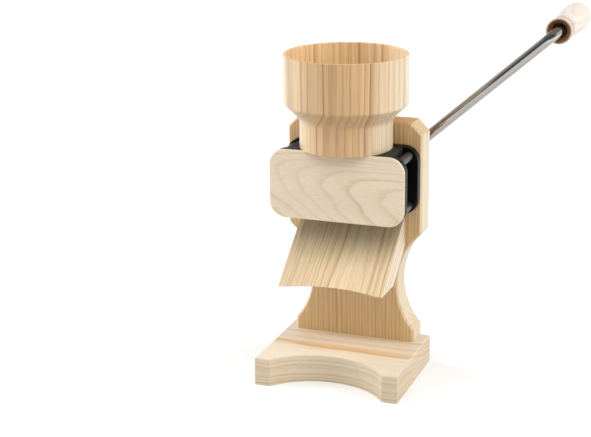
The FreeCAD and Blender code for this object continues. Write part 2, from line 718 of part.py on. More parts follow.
def make_bushes():
    front = [("bush_bore", "0"), ("bush_radius", "0"), ("bush_radius", "web_thickness"),
             ("flange_radius", "web_thickness"), ("flange_radius", "front_bush_length"),
             ("bush_bore", "front_bush_length")]
    rear = [("bush_bore", "0"), ("flange_radius", "0"), ("flange_radius", "flange_thickness"),
            ("bush_radius", "flange_thickness"), ("bush_radius", "rear_bush_length"),
            ("bush_bore", "rear_bush_length")]
    nodes = []
    for node, points, y in (("front_bushes", front, "web_front"), ("rear_bushes", rear, "rear_bush_front")):
        pieces = []
        for name, x in (("_left", "-axis_offset"), ("_right", "axis_offset")):
            pieces.append(turned_piece(node + name, points, x, y, "axis_height"))
        nodes.append((node, group(node, pieces)))
    return nodes


def make_shaft(label, x, length):
    inner = size(length) - size("shaft_soft")
    body = new_body(label, x, "gear_front", "axis_height")
    points = [("0", "0"), ("shaft_radius", "0"), ("shaft_radius", length), ("0", length)]
    turn(body, outline(new_sketch(body, label + "Outline", "XY"), points))
    dress(body, "Chamfer", "shaft_soft", lambda edge: edge_flat(edge, "Y", 0) or edge.BoundBox.YMin > inner)
    return body


def make_rollers():
    """Rollers fluted along their length, so that they draw the grain in, and their shafts."""
    points = [("shaft_radius", "0"), ("roller_radius", "0"), ("roller_radius", "roller_length"),
              ("shaft_radius", "roller_length")]
    flute = [("-flute_half_width", "flute_mouth"), ("0", "flute_floor"), ("flute_half_width", "flute_mouth")]
    nodes = []
    for label, x in (("drive_roller", "axis_offset"), ("driven_roller", "-axis_offset")):
        body = turned_piece(label, points, x, "roller_front", "axis_height")
        dress(body, "Chamfer", "roller_soft", lambda edge: circle_of(edge, "roller_radius", "Y"))
        sketch = outline(new_sketch(body, label + "Flute", "XZ"), flute)
        repeat(body, cut(body, sketch), sketch, "flute_count")
        nodes.append((label, body))

    drive = make_shaft("drive_shaft", "axis_offset", "drive_shaft_length")
    hole = new_sketch(drive, "ShaftPinHole", "XY")
    cut(drive, rings(hole, [("0", "pin_in_shaft")], "hub_pin_radius"))
    driven = make_shaft("driven_shaft", "-axis_offset", "driven_shaft_length")
    return nodes + [("drive_shaft", drive), ("driven_shaft", driven)]


def tooth_space(turned):
    """Corners of one space between two involute teeth, its middle at the given angle."""
    teeth = size("gear_teeth")
    pitch = size("gear_module") * teeth / 2
    pressure = math.radians(PRESSURE_ANGLE)
    base = pitch * math.cos(pressure)
    root = pitch - ROOT_SHARE * size("gear_module")
    crown = size("gear_outer_radius")
    half_tooth = math.pi / (2 * teeth) - BACKLASH / (2 * pitch)
    steps = [root] + [base + (crown - base) * share for share in FLANK_SHARES] + [crown + size("cut_over")]
    left = []
    right = []
    for radius in steps:
        reach = math.acos(min(base / min(radius, crown), 1))
        flank = half_tooth + (math.tan(pressure) - pressure) - (math.tan(reach) - reach)
        half_space = math.pi / teeth - flank
        for side, turn_by in ((left, half_space), (right, -half_space)):
            angle = turned + turn_by
            side.append(FreeCAD.Vector(radius * math.cos(angle), radius * math.sin(angle), 0))
    return right + left[::-1]


def make_gears():
    """Two equal gears in mesh: a tooth of the drive gear stands in a space of the other."""
    half_step = math.radians(size("tooth_pitch_angle")) / 2
    nodes = []
    for label, x, turned in (("drive_gear", "axis_offset", half_step), ("driven_gear", "-axis_offset", 0)):
        body = new_body(label, x, "gear_front", "axis_height")
        blank = new_sketch(body, label + "Blank", "XZ")
        rings(blank, [("0", "0")], "gear_outer_radius")
        rings(blank, [("0", "0")], "shaft_radius")
        pad(body, blank, "gear_width", turned=True)
        space = new_sketch(body, label + "Space", "XZ")
        spots = tooth_space(turned)
        for index, spot in enumerate(spots):
            space.addGeometry(Part.LineSegment(spot, spots[(index + 1) % len(spots)]))
        repeat(body, cut(body, space), space, "gear_teeth")
        nodes.append((label, body))
    return nodes


def make_hub():
    points = [("shaft_radius", "0"), ("hub_radius", "0"), ("hub_radius", "hub_length"),
              ("shaft_radius", "hub_length")]
    hub = turned_piece("crank_hub", points, "axis_offset", "hub_start", "axis_height")
    end = size("hub_length")
    dress(hub, "Chamfer", "hub_soft",
          lambda edge: edge_flat(edge, "Y", end) and near(edge.BoundBox.XMax, size("hub_radius")))
    cut(hub, rings(new_sketch(hub, "HubPinHole", "XY"), [("0", "pin_in_hub")], "hub_pin_radius"))
    thread = new_sketch(hub, "SetScrewHole", "XY")
    cut(hub, rings(thread, [("0", "set_screw_in_hub")], "set_screw_radius"), "set_screw_cut", turned=True)

    pin = [("0", "-hub_pin_half"), ("hub_pin_radius", "-hub_pin_half"), ("hub_pin_radius", "hub_pin_half"),
           ("0", "hub_pin_half")]
    pin = turned_piece("hub_pin", pin, "axis_offset", "hub_pin_y", "axis_height", "XZ")
    screw = [("0", "rod_radius"), ("set_screw_radius", "rod_radius"), ("set_screw_radius", "set_screw_top"),
             ("0", "set_screw_top")]
    screw = turned_piece("crank_set_screw", screw, "axis_offset", "set_screw_y", "axis_height", "XZ")
    key_socket(screw, "XY", "set_screw_top", "set_screw_key", "set_screw_key_depth")
    return [("crank_hub", hub), ("hub_pin", pin), ("crank_set_screw", screw)]


def make_rod():
    """One round bar: out of the hub, round a bend, along the arm, round a bend, into the grip."""
    body = new_body("crank_rod", "axis_offset", "0", "axis_height")
    lean = FreeCAD.Rotation(FreeCAD.Vector(0, -1, 0), size("crank_angle"))
    body.Placement = FreeCAD.Placement(body.Placement.Base, lean)
    body.setExpression("Placement.Rotation.Angle", "Sizes.crank_angle * 1 deg")
    path = new_sketch(body, "RodPath", "XY")
    points = [("0", "rod_start"), ("0", "bend_start"), ("bend_radius", "arm_y"), ("arm_outer", "arm_y"),
              ("crank_radius", "bend_end"), ("crank_radius", "groove_start")]
    outline(path, points, {1: ("bend_radius", 1), 3: ("bend_radius", -1)}, closed=False)
    bar = rings(new_sketch(body, "RodRound", "XZ", "-rod_start"), [("0", "0")], "rod_radius")
    DOC.recompute()
    pipe = body.newObject("PartDesign::AdditivePipe", "Rod")
    pipe.Profile = bar
    pipe.Spine = (path, ["Edge%d" % (n + 1) for n in range(len(points) - 1)])
    neck = new_sketch(body, "RodNeck", "XZ", "-groove_start")
    pad(body, rings(neck, [("crank_radius", "0")], "ring_groove_radius"), "groove_length", turned=True)
    tip = new_sketch(body, "RodTip", "XZ", "-tip_start")
    pad(body, rings(tip, [("crank_radius", "0")], "rod_radius"), "tip_length", turned=True)
    end = size("tip_start") + size("tip_length")
    dress(body, "Chamfer", "tip_soft", lambda edge: edge_flat(edge, "Y", end))

    ring = [("ring_groove_radius", "0"), ("ring_outer", "0"), ("ring_outer", "ring_thickness"),
            ("ring_groove_radius", "ring_thickness")]
    ring = turned_piece("grip_snap_ring", ring, "grip_x", "ring_start", "grip_z")
    return [("crank_rod", body), ("grip_snap_ring", ring)]


def make_grip():
    points = [("0", "grip_bore_depth"), ("grip_bore", "grip_bore_depth"), ("grip_bore", "mouth_depth"),
              ("mouth_radius", "0"), ("collar_radius", "0"), ("collar_radius", "collar_length"),
              ("grip_waist", "waist_start"), ("grip_waist", "waist_end"), ("belly_radius", "belly_at"),
              ("cap_r", "cap_y"), ("0", "grip_end")]
    arcs = {7: ("swell_radius", -1), 8: ("cap_bend_radius", -1), 9: ("cap_radius", -1)}
    grip = turned_piece("grip", points, "grip_x", "grip_start", "grip_z", arcs=arcs)
    dress(grip, "Fillet", "collar_soft", lambda edge: circle_of(edge, "collar_radius", "Y"))
    bush = [("grip_bush_bore", "0"), ("grip_bore", "0"), ("grip_bore", "grip_bush_length"),
            ("grip_bush_bore", "grip_bush_length")]
    bush = turned_piece("grip_bush", bush, "grip_x", "grip_bush_start", "grip_z")
    return [("grip", grip), ("grip_bush", bush)]


def circle_at(edge, radius, height):
    return circle_of(edge, radius, "Z") and edge_flat(edge, "Z", size(height))


def make_hopper():
    points = [("outlet_radius", "-spigot_drop"), ("spigot_radius", "-spigot_drop"), ("spigot_radius", "0"),
              ("neck_radius", "0"), ("neck_radius", "neck_high"), ("hopper_radius", "shoulder_high"),
              ("hopper_radius", "hopper_height"), ("bowl_radius", "hopper_height"),
              ("bowl_radius", "bowl_low"), ("outlet_radius", "outlet_high")]
    body = turned_piece("hopper", points, "0", "hopper_y", "plate_top", "XZ")
    dress(body, "Fillet", "neck_inner_fillet", lambda edge: circle_at(edge, "neck_radius", "neck_high"))
    dress(body, "Fillet", "shoulder_fillet", lambda edge: circle_at(edge, "hopper_radius", "shoulder_high"))
    dress(body, "Fillet", "bowl_fillet", lambda edge: circle_at(edge, "bowl_radius", "bowl_low"))
    dress(body, "Fillet", "rim_soft",
          lambda edge: circle_at(edge, "hopper_radius", "hopper_height")
          or circle_at(edge, "bowl_radius", "hopper_height"))
    return [("hopper", body)]


def check_all(nodes):
    """Stop before writing anything if a feature failed or a piece is not sound."""
    for item in DOC.Objects:
        for word in ("Invalid", "Error"):
            if word in item.State:
                raise RuntimeError("%s is %s" % (item.Name, word))
    for node, item in nodes:
        if item.Shape.isNull() or not item.Shape.isValid() or not item.Shape.Solids:
            raise RuntimeError("%s has no sound solid" % node)


def main():
    fill_sheet()
    nodes = make_base() + make_upright() + make_chute() + make_base_screws() + make_plates()
    nodes += make_posts() + make_guides() + make_bushes() + make_rollers() + make_gears()
    nodes += make_hub() + make_rod() + make_grip() + make_hopper()
    DOC.recompute()
    check_all(nodes)
    for node, item in nodes:
        item.Shape.exportStep("parts/%s.step" % node)
        print("%-18s %2d solid(s) %10.1f mm3" % (node, len(item.Shape.Solids), item.Shape.Volume))


main()
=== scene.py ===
import bpy
import math
from mathutils import Matrix, Vector


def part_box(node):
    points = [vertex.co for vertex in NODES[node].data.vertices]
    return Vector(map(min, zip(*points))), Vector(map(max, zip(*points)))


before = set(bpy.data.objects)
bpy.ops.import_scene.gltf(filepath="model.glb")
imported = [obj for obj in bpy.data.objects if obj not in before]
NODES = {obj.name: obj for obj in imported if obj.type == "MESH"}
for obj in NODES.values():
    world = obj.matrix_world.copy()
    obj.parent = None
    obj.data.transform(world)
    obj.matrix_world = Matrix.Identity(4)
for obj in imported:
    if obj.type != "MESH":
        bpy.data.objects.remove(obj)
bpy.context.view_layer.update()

# Camera solved from the photograph, in the part's own frame
PHOTO_WIDTH = 591
PHOTO_HEIGHT = 437
FOCAL_PX = 1450.63
CENTRE_PX = (315.32, 237.39)
SENSOR_MM = 36.0
CAMERA_AZIMUTH = math.radians(20.19)
CAMERA_ELEVATION = math.radians(17.69)
CAMERA_ROLL = math.radians(-0.47)
CAMERA_TARGET = Vector((0.0, -0.0772, 0.160))
CAMERA_DISTANCE = 1.2844
FAR_CLIP = 60.0

# Lamps: name, place, size and power, all aimed at the middle of the object
LAMP_AIM = Vector((0.0, 0.0, 0.17))
LAMPS = (
    ("side_right", (1.5, 0.2, 0.9), (1.2, 1.4), 24),
    ("side_left", (-1.5, 0.0, 0.8), (1.2, 1.4), 26),
    ("top_soft", (0.1, -1.0, 1.7), (2.2, 1.6), 25),
)

# Surroundings: light on the object, and the dim parts of the studio that gloss sees,
# placed by the Y and Z of the direction looked in
WHITE = (1.0, 1.0, 1.0, 1.0)
WARM_WHITE = (1.0, 0.985, 0.965, 1.0)
SOFT_LIGHT = 0.43
DIM_SIDE = 0.15
DIM_SIDE_FROM = -0.05
DIM_SIDE_FULL = -0.60
DIM_ABOVE = 0.3
DIM_ABOVE_FROM = 0.45
DIM_ABOVE_FULL = 0.60

# Floor: what it throws back on the object, and how pale the camera and gloss see it
FLOOR_HALF = 9.0
FLOOR_BOUNCE = (0.55, 0.55, 0.55, 1.0)
FLOOR_SEEN = (0.64, 0.64, 0.64, 1.0)
GLOW_NEAR = 0.20
GLOW_FAR = 0.95
GLOW_NEAR_REACH = 0.35
GLOW_FAR_REACH = 1.6

# Angles as in the part's source
CHUTE_ANGLE = math.radians(38.7)
CRANK_ANGLE = math.radians(41.33)

# Turns that bring each board's grain to Z
UPRIGHT_GRAIN = (0.0, 0.0, 0.0)
ALONG_X = (0.0, math.radians(90), 0.0)
ALONG_Y = (math.radians(90), 0.0, 0.0)
ALONG_SLOPE = (math.radians(90.8) - CHUTE_ANGLE, 0.0, 0.0)
PANEL_GRAIN = (math.radians(35), math.radians(80), 0.0)

# Wood: darkness through one ring's width, tones of the fibres and streaks, and sapwood
PER_METRE = 1000
RING_PROFILE = ((0.0, 0.3), (0.05, 1.0), (0.13, 0.62), (0.3, 0.2), (0.55, 0.04), (0.9, 0.0), (1.0, 0.3))
FIBRE_TONES = ((0.25, 0.86), (0.5, 0.97), (0.75, 1.02))
STREAK_TONES = ((0.3, (0.84, 0.80, 0.74)), (0.5, (0.97, 0.96, 0.95)), (0.68, (1.06, 1.07, 1.10)))
CLOUD_TONES = ((0.3, 0.93), (0.7, 1.0))
PORE_PROFILE = ((0.0, 1.0), (0.30, 1.0), (0.40, 0.0), (1.0, 0.0))
CUT_END_PROFILE = ((0.5, 0.0), (0.95, 1.0))
SAP_TINT = (1.03, 1.16, 1.40, 1.0)
SAP_FADE = 25.0
# painted light that brightens the hopper's inner walls
INSIDE_LIGHT_TINT = (1.20, 1.19, 1.16, 1.0)
SOFT_EDGE = 0.0005

# The grip's mouth: radius of the burnished ring and how its brown fades outwards
MOUTH_RADIUS = 0.0113
MOUTH_PROFILE = ((0.0, 1.0), (0.715, 1.0), (0.80, 0.25), (0.87, 0.0))
MOUTH_DEPTH_PROFILE = ((0.0, 1.0), (0.6, 1.0), (1.0, 0.6))
MOUTH_REACH_SCALE = 70.0
MOUTH_DEPTH_SCALE = 200.0
MOUTH_FRAY = 0.0016


def srgb(red, green, blue):
    """Colour written as it looks on screen, 0 to 255, as linear values."""
    linear = []
    for part in (red, green, blue):
        part = part / 255.0
        linear.append(part / 12.92 if part <= 0.04045 else ((part + 0.055) / 1.055) ** 2.4)
    return (*linear, 1.0)


BROWN = srgb(150, 101, 52)
BURNT = srgb(128, 84, 44)


class Graph:
    """Fills a node tree; most calls add a node and return its first output."""

    def __init__(self, tree):
        self.tree = tree
        self.tree.nodes.clear()

    def feed(self, node, key, value):
        if isinstance(value, bpy.types.NodeSocket):
            self.tree.links.new(value, node.inputs[key])
        else:
            node.inputs[key].default_value = value

    def node(self, kind, settings=None, **inputs):
        made = self.tree.nodes.new(kind)
        for key, value in (settings or {}).items():
            setattr(made, key, value)
        for key, value in inputs.items():
            self.feed(made, key.replace("_", " "), value)
        return made

    def row(self, kind, settings, values):
        """Node whose inputs are fed in order."""
        made = self.node(kind, settings)
        for index, value in enumerate(values):
            self.feed(made, index, value)
        return made

    def math(self, operation, *values, clamp=False):
        return self.row("ShaderNodeMath", {"operation": operation, "use_clamp": clamp}, values).outputs[0]

    def vector(self, operation, *values):
        made = self.row("ShaderNodeVectorMath", {"operation": operation}, values)
        return made.outputs["Value"] if operation == "LENGTH" else made.outputs["Vector"]

    def scale(self, vector, factors):
        return self.vector("MULTIPLY", vector, factors)

    def split(self, vector):
        return self.node("ShaderNodeSeparateXYZ", Vector=vector).outputs

    def join(self, x, y, z):
        return self.node("ShaderNodeCombineXYZ", X=x, Y=y, Z=z).outputs[0]

    def coordinates(self, name):
        return self.node("ShaderNodeTexCoord").outputs[name]

    def turn(self, vector, rotation, kind="POINT", scale=1.0):
        made = self.node("ShaderNodeMapping", {"vector_type": kind}, Vector=vector, Rotation=rotation,
                         Scale=(scale, scale, scale))
        return made.outputs[0]

    def noise(self, vector, scale=1.0, detail=3.0, roughness=0.5, output="Fac"):
        made = self.node("ShaderNodeTexNoise", Vector=vector, Scale=scale, Detail=detail,
                         Roughness=roughness)
        return made.outputs[output]

    def fade(self, value, start, stop, low, high, kind="SMOOTHSTEP"):
        made = self.node("ShaderNodeMapRange", {"interpolation_type": kind}, Value=value,
                         From_Min=start, From_Max=stop, To_Min=low, To_Max=high)
        return made.outputs["Result"]

    def ramp(self, value, stops):
        made = self.node("ShaderNodeValToRGB", Fac=value)
        points = made.color_ramp.elements
        while len(points) < len(stops):
            points.new(0.5)
        for point, (place, colour) in zip(points, stops):
            point.position = place
            point.color = (*colour, 1.0) if hasattr(colour, "__len__") else (colour, colour, colour, 1.0)
        return made.outputs["Color"]

    def mix(self, share, first, second, blend="MIX"):
        made = self.node("ShaderNodeMix", {"data_type": "RGBA", "blend_type": blend})
        for index, value in ((0, share), (6, first), (7, second)):
            self.feed(made, index, value)
        return made.outputs[2]

    def tint(self, share, colour, factors):
        return self.mix(share, colour, factors, "MULTIPLY")

    def mix_shader(self, share, first, second):
        return self.row("ShaderNodeMixShader", {}, (share, first, second)).outputs[0]


class Maker(Graph):
    """One node material with a Principled shader."""

    def __init__(self, name):
        self.material = bpy.data.materials.new(name)
        self.material.use_nodes = True
        super().__init__(self.material.node_tree)
        self.shader = self.node("ShaderNodeBsdfPrincipled")
        self.node("ShaderNodeOutputMaterial", Surface=self.shader.outputs[0])

    def surface(self, colour, roughness, metallic=0.0, coat=0.0, specular=0.5):
        self.feed(self.shader, "Base Color", colour)
        self.feed(self.shader, "Roughness", roughness)
        self.feed(self.shader, "Metallic", metallic)
        self.feed(self.shader, "Coat Weight", coat)
        self.feed(self.shader, "Specular IOR Level", specular)
        return self.material

    def relief(self, height, distance, strength=1.0, edge=0.0):
        """Bump from a height; edge softens the solids' sharp corners by that many metres."""
        bump = self.node("ShaderNodeBump", Strength=strength, Distance=distance, Height=height)
        if edge:
            corner = self.node("ShaderNodeBevel", {"samples": 6}, Radius=edge)
            self.feed(bump, "Normal", corner.outputs[0])
        self.feed(self.shader, "Normal", bump.outputs[0])


def growth_rings(m, grain, heart, ring, wave):
    """Distance from the wandering heart axis, the place within a ring, and a value per ring."""
    drift = m.noise(m.scale(grain, (0.022, 0.022, 0.0045)), detail=2.0, roughness=0.45, output="Color")
    drift = m.scale(m.vector("SUBTRACT", drift, (0.5, 0.5, 0.5)), (wave, wave, 0))
    moved = m.vector("ADD", m.vector("ADD", grain, drift), (-heart[0], -heart[1], 0))
    across = m.split(moved)
    reach = m.vector("LENGTH", m.join(across[0], across[1], 0.0))
    pace = m.noise(m.join(m.math("MULTIPLY", reach, 0.045), 0.0, 0.0), detail=2.0)
    reach = m.math("ADD", reach, m.math("MULTIPLY", m.math("SUBTRACT", pace, 0.5), ring * 5.0))
    turns = m.math("DIVIDE", reach, ring)
    each = m.node("ShaderNodeTexWhiteNoise", {"noise_dimensions": "1D"}, W=m.math("FLOOR", turns))
    return reach, m.math("FRACT", turns), each.outputs["Value"]


def lit_side_faces(m, normal, side):
    """How squarely a face looks along side, towards the side lamps, where the wood paints light in."""
    along_side = m.split(m.scale(normal, side))
    lit_side = m.math("ABSOLUTE", m.math("ADD", along_side[0], along_side[1]))
    return m.math("MULTIPLY_ADD", lit_side, 1.7, -0.5, clamp=True)


def cut_faces(m, normal, turn):
    """How squarely a face is cut across the grain."""
    facing = m.split(m.turn(normal, turn, "VECTOR"))
    return m.ramp(m.math("ABSOLUTE", facing[2]), CUT_END_PROFILE)


def ring_bands(m, grain, phase, each, lit_side, lines, calm):
    """A ring starts with a dark porous band, broken along the grain, and pales through the year."""
    strength = m.math("MULTIPLY", m.math("MULTIPLY_ADD", each, 0.8, 0.3), lines)
    broken = m.noise(m.scale(grain, (0.5, 0.5, 0.012)), roughness=0.6)
    strength = m.math("MULTIPLY", strength, m.math("MULTIPLY_ADD", broken, 1.1, 0.45))
    # ring lines fade by calm on the side faces that get painted light
    strength = m.math("MULTIPLY", strength, m.math("MULTIPLY_ADD", lit_side, -calm, 1.0))
    return m.math("MULTIPLY", m.ramp(phase, RING_PROFILE), strength, clamp=True)


def grain_pores(m, grain, band, pores):
    """Short dark dashes along the grain, most of them in the dark band."""
    pore = m.ramp(m.noise(m.scale(grain, (3.4, 3.4, 0.11)), detail=2.0), PORE_PROFILE)
    pore = m.math("MULTIPLY", pore, m.math("MULTIPLY_ADD", band, 0.8, 0.12))
    return m.math("MULTIPLY", pore, pores)


def wood(name, light, line, deep, turn, heart, ring, wave, lines=1.0, pores=0.5, gloss=0.52, streaks=1.0,
         end=(0.97, 0.95, 0.92), side=(1.0, 0.0, 0.0), side_light_tint=(1.0, 1.0, 1.0), calm=0.0, sap=None):
    """Wood cut from a trunk: rings about a heart axis, with fibres and pores along it.

    turn brings the grain's direction to Z, heart is the heart axis's place across the
    grain in millimetres, ring the usual ring width, wave how far the rings wander,
    end what multiplies the colour where the grain is cut across, side_light_tint what
    multiplies it as painted light on the faces that look along side, towards the side
    lamps, and calm how much their lines fade there, sap the distance from the heart
    where the pale outer wood starts.
    Returns the maker, the colour, the roughness and how far the face shows long grain.
    """
    m = Maker(name)
    grain = m.turn(m.coordinates("Object"), turn, scale=PER_METRE)
    normal = m.coordinates("Normal")
    reach, phase, each = growth_rings(m, grain, heart, ring, wave)
    lit_side = lit_side_faces(m, normal, side)
    cut_across = cut_faces(m, normal, turn)
    band = ring_bands(m, grain, phase, each, lit_side, lines, calm)
    pore = grain_pores(m, grain, band, pores)
    fibre = m.noise(m.scale(grain, (1.7, 1.7, 0.035)), detail=4.0, roughness=0.62)
    streak = m.noise(m.scale(grain, (0.62, 0.62, 0.011)), roughness=0.7)
    cloud = m.noise(m.scale(grain, (0.035, 0.035, 0.008)), detail=2.0)

    colour = m.mix(band, light, line)
    colour = m.tint(1.0, colour, m.ramp(fibre, FIBRE_TONES))
    colour = m.tint(streaks, colour, m.ramp(streak, STREAK_TONES))
    colour = m.tint(1.0, colour, m.ramp(cloud, CLOUD_TONES))
    colour = m.mix(pore, colour, deep)
    if sap:
        outer = m.math("MULTIPLY_ADD", reach, 1 / SAP_FADE, -sap / SAP_FADE, clamp=True)
        colour = m.tint(outer, colour, SAP_TINT)
    colour = m.tint(cut_across, colour, (*end, 1.0))
    # painted light: faces that look along side, towards the side lamps, get a paler tint
    colour = m.tint(lit_side, colour, (*side_light_tint, 1.0))

    # cut ends drink the oil and stay matt
    rough = m.math("MULTIPLY_ADD", fibre, 0.16, gloss - 0.08)
    rough = m.math("MULTIPLY_ADD", cut_across, 0.35, rough)
    height = m.math("SUBTRACT", m.math("MULTIPLY", fibre, 0.35), m.math("MULTIPLY", pore, 0.9))
    m.relief(height, 0.00018, 0.55, edge=SOFT_EDGE)
    return m, colour, rough, m.math("SUBTRACT", 1.0, cut_across)


def oiled(parts, coat=0.35, sheen=0.15):
    """Oiled surface: a broad soft gloss but for the cut ends, and fine fibres seen aslant."""
    m, colour, rough, long_grain = parts
    m.feed(m.shader, "Coat Roughness", 0.42)
    m.feed(m.shader, "Sheen Weight", sheen)
    m.feed(m.shader, "Sheen Roughness", 0.4)
    return m.surface(colour, rough, coat=m.math("MULTIPLY", long_grain, coat))


def middle_of(box):
    low, high = box
    return (low + high) / 2


def hopper_wood():
    """Turned ash, oiled, with painted light: the inner walls are brightened, and the left and right edges
    as seen are tinted paler.
    """
    # painted sheen: faces looking across the view, its left and right edges, are tinted paler
    m, colour, rough, long_grain = wood(
        "hopper_ash", srgb(209, 171, 122), srgb(152, 104, 56), BROWN, UPRIGHT_GRAIN, heart=(-207, -208),
        ring=7.0, wave=5.0, gloss=0.40, side=(0.938, 0.345, 0.0), side_light_tint=(1.06, 1.2, 1.45), sap=288)
    # painted light: walls that face the hopper's axis, inside it, are brightened
    middle = middle_of(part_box("hopper"))
    away = m.vector("SUBTRACT", m.coordinates("Object"), (middle.x, middle.y, 0.0))
    away = m.vector("NORMALIZE", m.scale(away, (1.0, 1.0, 0.0)))
    facing = m.split(m.vector("MULTIPLY", away, m.coordinates("Normal")))
    lit_inside = m.math("MULTIPLY", m.math("ADD", facing[0], facing[1]), -1.6, clamp=True)
    return oiled((m, m.tint(lit_inside, colour, INSIDE_LIGHT_TINT), rough, long_grain), coat=0.4, sheen=0.3)


def upright_wood():
    # painted light: its side faces, towards the side lamps, are tinted paler and their lines fade
    return oiled(wood("upright_ash", srgb(224, 190, 138), srgb(180, 130, 68), BROWN, UPRIGHT_GRAIN,
                      heart=(-390, 220), ring=3.1, wave=5.0, lines=0.85, gloss=0.46,
                      end=(0.98, 0.78, 0.50), side_light_tint=(0.93, 1.12, 1.56), calm=0.65), sheen=0.3)


def chute_wood():
    # painted light: its side faces, towards the side lamps, are tinted paler
    return oiled(wood("chute_ash", srgb(221, 200, 164), srgb(194, 143, 76), BROWN, ALONG_SLOPE,
                      heart=(18, -60), ring=3.3, wave=8.0, lines=0.95, gloss=0.44, side_light_tint=(1.0, 1.08, 1.25)))


def base_wood(name, heart, wave, lines):
    return oiled(wood(name, srgb(219, 204, 180), srgb(202, 158, 98), BROWN, ALONG_X,
                      heart=heart, ring=5.6, wave=wave, lines=lines, pores=0.35, gloss=0.46, streaks=0.4))


def panel_wood():
    return oiled(wood("panel_birch", srgb(233, 215, 190), srgb(210, 178, 134), srgb(170, 134, 92),
                      PANEL_GRAIN, heart=(176, -67), ring=2.7, wave=10.0, lines=0.8, pores=0.15, gloss=0.46,
                      streaks=0.2))


def dowel_wood():
    return oiled(wood("dowel_beech", srgb(214, 172, 126), srgb(186, 140, 94), BROWN, ALONG_Y,
                      heart=(-60, 30), ring=2.6, wave=4.0, lines=0.6))


def grip_wood():
    """Pale turned wood whose mouth was burnished brown."""
    m, colour, rough, _ = wood(
        "grip_maple", srgb(219, 208, 199), srgb(198, 178, 158), srgb(176, 138, 102), ALONG_Y,
        heart=(-45, 70), ring=5.5, wave=9.0, lines=0.4, pores=0.2, gloss=0.46, streaks=0.4)
    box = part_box("grip")
    middle = middle_of(box)
    place = m.coordinates("Object")
    away = m.split(m.vector("SUBTRACT", place, (middle.x, box[0].y, middle.z)))
    spokes = m.noise(m.scale(place, (1400, 90, 1400)))
    fray = m.math("MULTIPLY", m.math("SUBTRACT", spokes, 0.5), MOUTH_FRAY)
    reach = m.math("ADD", m.vector("LENGTH", m.join(away[0], away[2], 0.0)), fray)
    burn = m.math("MULTIPLY", m.ramp(m.math("MULTIPLY", reach, MOUTH_REACH_SCALE), MOUTH_PROFILE),
                  m.ramp(m.math("MULTIPLY", away[1], MOUTH_DEPTH_SCALE), MOUTH_DEPTH_PROFILE), clamp=True)
    burn = m.math("MULTIPLY", burn, m.math("LESS_THAN", reach, MOUTH_RADIUS))
    return m.surface(m.mix(burn, colour, BURNT), rough, coat=0.05, specular=0.35)


def black_metal(name, tone, roughness, shine):
    """Satin black coating with a very fine orange-peel surface."""
    m = Maker(name)
    place = m.coordinates("Object")
    peel = m.noise(place, scale=2600.0, detail=2.0)
    cloud = m.noise(place, scale=60.0, detail=2.0)
    colour = m.ramp(cloud, ((0.3, (tone * 0.8, tone * 0.8, tone * 0.82)), (0.7, (tone, tone, tone * 1.04))))
    rough = m.math("MULTIPLY_ADD", cloud, 0.10, roughness - 0.05)
    m.relief(peel, 0.00003, 0.35, edge=0.0006)
    return m.surface(colour, rough, specular=shine)


def steel(name, tone, roughness, along, streak=0.25, tint=(1.0, 0.985, 0.96)):
    """Bare steel with drawn or turned marks; along stretches the marks."""
    m = Maker(name)
    place = m.coordinates("Object")
    marks = m.noise(m.scale(place, along), detail=4.0, roughness=0.6)
    cloud = m.noise(place, scale=45.0)
    low = tuple(tone * (1.0 - streak) * part for part in tint)
    high = tuple(tone * part for part in tint)
    rough = m.math("MULTIPLY_ADD", marks, 0.12, m.math("MULTIPLY_ADD", cloud, 0.08, roughness - 0.1))
    m.relief(marks, 0.00002, 0.25, edge=0.0004)
    return m.surface(m.ramp(marks, ((0.3, low), (0.7, high))), rough, metallic=1.0)


def rod_steel():
    """Polished round bar; faint marks run along the arm."""
    m = Maker("rod_steel")
    place = m.coordinates("Object")
    grain = m.turn(place, (0.0, CRANK_ANGLE, 0.0))
    marks = m.noise(m.scale(grain, (18, 1500, 1500)), detail=4.0, roughness=0.6)
    cloud = m.noise(place, scale=38.0)
    colour = m.ramp(marks, ((0.3, (0.35, 0.332, 0.316)), (0.7, (0.45, 0.429, 0.412))))
    m.relief(marks, 0.00001, 0.1)
    return m.surface(colour, m.math("MULTIPLY_ADD", cloud, 0.06, 0.07), metallic=1.0)


def bronze():
    """Machined bushes, a little tarnished."""
    m = Maker("bush_bronze")
    cloud = m.noise(m.coordinates("Object"), scale=300.0)
    m.relief(cloud, 0.00002, 0.3)
    colour = m.ramp(cloud, ((0.3, (0.36, 0.23, 0.10)), (0.7, (0.52, 0.35, 0.16))))
    return m.surface(colour, m.math("MULTIPLY_ADD", cloud, 0.2, 0.3), metallic=1.0)


def moulded_black():
    """Matt black plastic with a finely sparked surface."""
    m = Maker("moulded_black")
    spark = m.noise(m.coordinates("Object"), scale=1800.0, detail=2.0)
    m.relief(spark, 0.00004, 0.4)
    colour = m.ramp(spark, ((0.3, (0.010, 0.010, 0.011)), (0.7, (0.016, 0.016, 0.017))))
    return m.surface(colour, m.math("MULTIPLY_ADD", spark, 0.15, 0.5), specular=0.4)


def dress(material, *names):
    for name in names:
        slots = NODES[name].material_slots
        if not slots:
            NODES[name].data.materials.append(material)
        for slot in slots:
            slot.material = material


